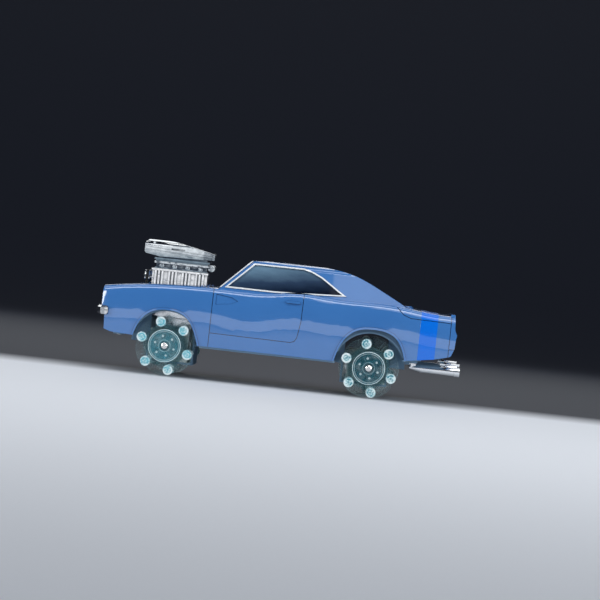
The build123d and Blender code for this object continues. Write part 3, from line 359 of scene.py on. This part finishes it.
def makeHubClear(name, p):
    material, tree, shader = startMaterial(name, ior=1.46, specular=0.5)
    x, y, z = axes(tree)
    dx, dz = calc(tree, "SUBTRACT", x, p["hub"].x), calc(tree, "SUBTRACT", z, p["hub"].z)
    reach = calc(tree, "SQRT", calc(tree, "ADD", calc(tree, "MULTIPLY", dx, dx),
                                    calc(tree, "MULTIPLY", dz, dz)))
    angle = calc(tree, "SUBTRACT", calc(tree, "ARCTAN2", dz, dx), math.radians(p["first"]))
    step = math.radians(60)
    turn = calc(tree, "WRAP", angle, step / 2, -step / 2)
    ear, earOff = spot(tree, reach, turn, earSpot["reach"], earSpot["radius"])
    dimple = spot(tree, reach, turn, hubLook["dimples"], hubLook["dimpleSize"])[0]
    swirl = noise(tree, place(tree), 210, 4, 0.6)
    disc = spread(tree, reach, 1.0, 0.0, hubLook["disc"] - 0.0002, hubLook["disc"] + 0.0002)
    # painted highlights: pale lines on the disc's ring edges
    rings = calc(tree, "MAXIMUM", ringLine(tree, reach, hubLook["disc"], hubLook["ringWidth"]),
                 calc(tree, "MULTIPLY",
                      ringLine(tree, reach, hubLook["innerRing"], hubLook["innerWidth"]), 0.8))
    rings = calc(tree, "MAXIMUM", rings,
                 calc(tree, "MULTIPLY",
                      ringLine(tree, reach, hubLook["boss"], hubLook["bossWidth"]), 0.35))
    # painted highlight along thin edges
    paintedRim = calc(tree, "MULTIPLY", paintedEdgeHighlight(tree, 0.0011, 0.45, 0.1), 0.75)
    # bright gathers the painted highlights: ring lines, thin edges and dimples
    bright = calc(tree, "MAXIMUM", calc(tree, "MAXIMUM", rings, paintedRim),
                  calc(tree, "MULTIPLY", dimple, 0.7))
    tint = blendTones(tree, spread(tree, swirl, 0, 0.5, 0.42, 0.75), p["tint"], p["pale"])
    tint = blendTones(tree, bright, blendTones(tree, disc, hubLook["web"], tint), p["pale"])
    mottle = noise(tree, place(tree, (1, 1, 1), (0.3, 0, 0)), 700, 3, 0.6)
    # painted highlight side: picks the lit side of each ear rim
    paintedHighlightSide = spread(tree, noise(tree, place(tree), 190, 1), 0, 1, 0.44, 0.54)
    paintedEarRim = calc(tree, "MULTIPLY",
                  ringLine(tree, earOff, earSpot["paintedRim"], earSpot["rimWidth"]), paintedHighlightSide)
    # painted shade: a dark ring on the side of each ear away from the highlight
    earRingShade = calc(tree, "MULTIPLY",
                   ringLine(tree, earOff, earSpot["ring"], earSpot["ringWidth"]),
                   calc(tree, "SUBTRACT", 1.0, paintedHighlightSide))
    earShade = calc(tree, "MAXIMUM", earRingShade, spread(tree, mottle, 0, 0.75, 0.47, 0.58))
    earShade = calc(tree, "MAXIMUM", earShade, spread(tree, earOff, 0.7, 0.0, *earSpot["heart"]))
    earShade = calc(tree, "MULTIPLY", earShade, calc(tree, "SUBTRACT", 1.0, paintedEarRim))
    # painted glints: pale flecks on the ears
    fleckAndGlint = spread(tree, noise(tree, place(tree, (1, 1, 1), (0, 0.2, 0)), 900, 2), 0, 1, 0.5, 0.58)
    lit = calc(tree, "MAXIMUM", paintedEarRim, fleckAndGlint)
    pale = blendTones(tree, lit, p["ear"], p["pale"])
    pale = blendTones(tree, earShade, pale, p["tint"])
    feed(tree, blendTones(tree, ear, tint, pale), shader.inputs["Base Color"])
    solid = calc(tree, "MAXIMUM", ear, calc(tree, "MULTIPLY", bright, 0.9))
    feed(tree, spread(tree, solid, 0.75, 0.15, 0, 1), shader.inputs["Transmission Weight"])
    cover = spread(tree, disc, 0.16, 0.92, 0, 1)
    feed(tree, calc(tree, "MAXIMUM", cover, calc(tree, "MULTIPLY", solid, 0.9)),
         shader.inputs["Alpha"])
    rough = spread(tree, noise(tree, place(tree), 300, 3), *earSpot["roughness"])
    feed(tree, calc(tree, "ADD", rough, calc(tree, "MULTIPLY", ear, 0.12)),
         shader.inputs["Roughness"])
    emboss(tree, shader, noise(tree, place(tree), 420, 2), 0.00003)
    return material


# soft clear rollers, more solid along their edges, where the pale colour shows as a painted edge
# highlight

rollerSkin = {"soft": tone(206, 236, 238), "softDeep": tone(160, 212, 218), "cover": (0.04, 0.85)}


def makeRoller(p):
    material, tree, shader = startMaterial("rollerSoft", ior=1.4, clear=0.35)
    # painted edge highlight: the edges turn opaque so the pale colour shows there
    feed(tree, spread(tree, paintedEdgeHighlight(tree, 0.0011, 0.5, 0.1), *p["cover"], 0, 1),
         shader.inputs["Alpha"])
    cloud = noise(tree, place(tree), 120, 3)
    feed(tree, blendTones(tree, cloud, p["soft"], p["softDeep"]), shader.inputs["Base Color"])
    feed(tree, spread(tree, noise(tree, place(tree), 500, 3), 0.32, 0.5),
         shader.inputs["Roughness"])
    emboss(tree, shader, noise(tree, place(tree), 1200, 3), 0.00003)
    return material


# steel brushed along one axis

def makeSteel(name, base, roughness, alongAxis):
    material, tree, shader = startMaterial(name, metal=1.0, base=base)
    stretch = [1, 1, 1]
    stretch[alongAxis] = 0.06
    brushed = noise(tree, place(tree, tuple(stretch)), 2600, 3)
    feed(tree, spread(tree, brushed, *roughness), shader.inputs["Roughness"])
    emboss(tree, shader, brushed, 0.00001)
    return material


paint = makeBodyPaint(bodyPaint)
smoke = makeGlazing(glazing)
chrome = makePlating("platedBumper", plating)
trimSilver = makePlating("platedTrim", satin)
casePlate = makeEnginePlate("platedCase", "blower_case", caseLook, 0.003)
injectorPlate = makeEnginePlate("platedInjector", "injector_body", injectorLook, 0.004)
scoopPlate = makeEnginePlate("platedScoop", "scoop", scoopLook, 0.003)
grilleBlack = makeMoulded("grilleBlack", tone(26, 27, 30), tone(18, 19, 22), (0.38, 0.5))
beltBlack = makeMoulded("beltBlack", tone(30, 30, 32), tone(20, 20, 22), (0.5, 0.65))
linerSlate = makeMoulded("linerSlate", tone(92, 116, 138), tone(82, 106, 128), (0.8, 0.92),
                         specular=0.06)
chassisSlate = makeMoulded("chassisSlate", tone(124, 152, 176), tone(112, 140, 164), (0.8, 0.92),
                           specular=0.06)
nylon = makeMoulded("gearboxNylon", tone(222, 222, 214), tone(206, 206, 198), (0.4, 0.5), under=0.1)
acetal = makeMoulded("pinionAcetal", tone(244, 243, 236), tone(232, 230, 222), (0.3, 0.4))
wrap = makeMoulded("batteryWrap", tone(20, 70, 150), tone(16, 58, 132), (0.2, 0.3), grain=200,
                   grainDepth=0.0001)
boardMask = makeMoulded("boardMask", tone(20, 96, 54), tone(12, 76, 42), (0.25, 0.4), grain=1800)
lampClear = makeMoulded("lampClear", tone(236, 240, 244), tone(216, 222, 228), (0.06, 0.12),
                        grain=300, clear=0.7)
lampRed = makeMoulded("lampRed", tone(190, 10, 14), tone(140, 5, 9), (0.06, 0.12), grain=300,
                      clear=0.25, coat=0.6)
motorSteel = makeSteel("motorSteel", (0.62, 0.63, 0.65, 1), (0.22, 0.38), 1)
screwSteel = makeSteel("screwSteel", (0.80, 0.80, 0.79, 1), (0.14, 0.26), 1)
hubFront = makeHubClear("hubClearFront", wheelTint["front"])
hubRear = makeHubClear("hubClearRear", wheelTint["rear"])
rollerSoft = makeRoller(rollerSkin)
print("materials made")

finishes = {
    "body_shell": paint, "window_glazing": smoke, "window_trims": trimSilver, "grille": grilleBlack,
    "headlamps": lampClear, "front_bumper": chrome, "tail_lamps": lampRed,
    "blower_case": casePlate, "injector_body": injectorPlate, "scoop": scoopPlate,
    "blower_drive": makeDrive(driveLook), "chassis": chassisSlate, "gear_housings": nylon,
    "motors": motorSteel, "battery_pack": wrap, "battery_cover": chassisSlate,
    "power_switch": beltBlack, "circuit_board": boardMask, "exhaust_pipes": chrome,
    "chassis_screws": screwSteel,
}


def finishFor(name):
    if name.startswith("hub_"):
        return hubFront if "front" in name else hubRear
    if name.startswith("roller_"):
        return rollerSoft
    if name.startswith("wheel_screw"):
        return screwSteel
    if name.startswith("pinion_"):
        return acetal
    return finishes[name]


for name, piece in nodes.items():
    for slot in piece.material_slots:
        slot.link = "DATA"
    piece.data.materials.clear()
    piece.data.materials.append(finishFor(name))
print("CAD nodes finished")


# liner that closes the gap between each rear well and its arch; from and to are degrees

liner = {"centre": (rearHub.x, rearHub.z), "inner": 0.02862, "outer": 0.0322, "face": 0.0512,
         "thick": 0.0009, "lip": 0.0004, "from": 12.0, "to": 168.0, "steps": 72}


def makeLiner(p):
    mesh = bpy.data.meshes.new("arch_liners")
    build = bmesh.new()
    depth, edge = p["thick"], p["lip"]
    section = [(p["inner"], 0), (p["inner"], depth), (p["inner"] + edge, depth + edge * 0.5),
               (p["outer"] - edge, depth + edge * 0.5), (p["outer"], depth), (p["outer"], 0)]
    for side in (-1, 1):
        rings = []
        for k in range(p["steps"] + 1):
            turn = math.radians(p["from"] + (p["to"] - p["from"]) * k / p["steps"])
            rings.append([build.verts.new((p["centre"][0] + r * math.cos(turn),
                                           side * (p["face"] - p["thick"] + y),
                                           p["centre"][1] + r * math.sin(turn)))
                          for r, y in section])
        for one, two in zip(rings, rings[1:]):
            for k in range(len(section)):
                build.faces.new((one[k - 1], one[k], two[k], two[k - 1]))
        build.faces.new(rings[0])
        build.faces.new(rings[-1][::-1])
    bmesh.ops.recalc_face_normals(build, faces=build.faces)
    build.to_mesh(mesh)
    build.free()
    piece = bpy.data.objects.new("arch_liners", mesh)
    bpy.context.scene.collection.objects.link(piece)
    mesh.materials.append(linerSlate)
    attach(piece, "car")


makeLiner(liner)
print("liners made")


# floor, light and camera

studio = {"floor": tone(216, 220, 226), "fleckAndGlint": tone(190, 196, 204), "backdrop": tone(24, 29, 42),
          "floorReach": 3.2, "halfWidth": 4.0, "sweepStart": 1.3, "sweepRadius": 0.9,
          "sweepRise": 2.2, "sweepSteps": 24, "fadeFrom": -0.08, "fadeTo": 0.05,
          "sky": tone(140, 156, 184), "skyPower": 0.22}


def makeFloor(p):
    outline = [(-p["floorReach"], 0.0)]
    start, radius, steps = p["sweepStart"], p["sweepRadius"], p["sweepSteps"]
    for k in range(steps + 1):
        turn = math.radians(90 * k / steps)
        outline.append((start + radius * math.sin(turn), radius * (1 - math.cos(turn))))
    outline.append((start + radius, p["sweepRise"]))
    mesh = bpy.data.meshes.new("floor")
    verts = [(x, y, z) for y, z in outline for x in (-p["halfWidth"], p["halfWidth"])]
    faces = [(2 * k, 2 * k + 1, 2 * k + 3, 2 * k + 2) for k in range(len(outline) - 1)]
    mesh.from_pydata(verts, [], faces)
    for face in mesh.polygons:
        face.use_smooth = True
    floor = bpy.data.objects.new("floor", mesh)
    bpy.context.scene.collection.objects.link(floor)
    material, tree, shader = startMaterial("floorPaper")
    fleckAndGlint = noise(tree, place(tree), 400, 3)
    away = spread(tree, axes(tree)[1], 0, 1, p["fadeFrom"], p["fadeTo"])
    grain = blendTones(tree, spread(tree, fleckAndGlint, 0, 0.05), p["floor"], p["fleckAndGlint"])
    feed(tree, blendTones(tree, away, grain, p["backdrop"]), shader.inputs["Base Color"])
    shader.inputs["Roughness"].default_value = 0.75
    mesh.materials.append(material)


def addLight(name, spot, target, size, power, color=(1, 1, 1)):
    data = bpy.data.lights.new(name, "AREA")
    data.shape = "RECTANGLE"
    data.size, data.size_y = size
    data.energy = power
    data.color = color
    lamp = bpy.data.objects.new(name, data)
    lamp.location = spot
    lamp.rotation_euler = (Vector(target) - Vector(spot)).to_track_quat("-Z", "Y").to_euler()
    lamp.visible_camera = False
    bpy.context.scene.collection.objects.link(lamp)


def makeLight(p):
    heart = (0, 0, 0.05)
    addLight("overhead", (0.0, 0.2, 1.5), heart, (2.4, 0.5), 5)
    addLight("frontTop", (0.0, -0.72, 1.4), heart, (3.0, 0.5), 15)
    addLight("frontCard", (-0.3, -2.0, 0.13), (-0.1, 0, 0.13), (3.4, 0.22), 2.2)
    addLight("sailCard", (0.36, -0.62, 0.72), (0.36, 0, 0.08), (0.66, 0.36), 0.7)
    addLight("keyLeft", (-1.7, -1.05, 0.6), heart, (0.9, 0.7), 15, (1.0, 0.99, 0.97))
    addLight("keyRight", (1.7, -1.05, 0.6), heart, (0.9, 0.7), 15, (0.97, 0.99, 1.0))
    addLight("rimBack", (0.2, 0.9, 0.9), heart, (1.2, 0.2), 1.2)
    addLight("backFill", (0.0, 1.25, 0.45), heart, (2.0, 0.4), 3.5, (0.94, 0.97, 1.0))
    world = bpy.data.worlds.new("studio")
    bpy.context.scene.world = world
    world.use_nodes = True
    sky = next(n for n in world.node_tree.nodes if n.type == "BACKGROUND")
    sky.inputs["Color"].default_value = p["sky"]
    sky.inputs["Strength"].default_value = p["skyPower"]


# tilt, turn and rise are degrees; viewWidth is the width seen at the aim, in metres
camera = {"lens": 170.0, "viewWidth": 0.472218, "tilt": 6.28, "turn": 1.2, "rise": 0.8,
          "aimShare": 0.6324, "aimHeight": 0.0716}


def makeCamera(p):
    data = bpy.data.cameras.new("camera")
    data.lens = p["lens"]
    data.clip_start = 0.01
    eye = bpy.data.objects.new("camera", data)
    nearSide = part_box("hub_outer_rear_left")[0][1]
    aim = Vector((along(p["aimShare"]), nearSide, p["aimHeight"]))
    away = p["viewWidth"] * p["lens"] / data.sensor_width
    turn, rise = math.radians(p["turn"]), math.radians(p["rise"])
    look = Vector((-math.sin(turn) * math.cos(rise), math.cos(turn) * math.cos(rise),
                   -math.sin(rise)))
    eye.location = aim - look * away
    flat = look.to_track_quat("-Z", "Y").to_matrix().to_4x4()
    eye.matrix_world = Matrix.Translation(eye.location) @ flat @ Matrix.Rotation(
        math.radians(p["tilt"]), 4, "Z")
    bpy.context.scene.collection.objects.link(eye)
    bpy.context.scene.camera = eye


makeFloor(studio)
makeLight(studio)
makeCamera(camera)
bpy.context.scene.view_settings.view_transform = "Standard"
print("studio set")
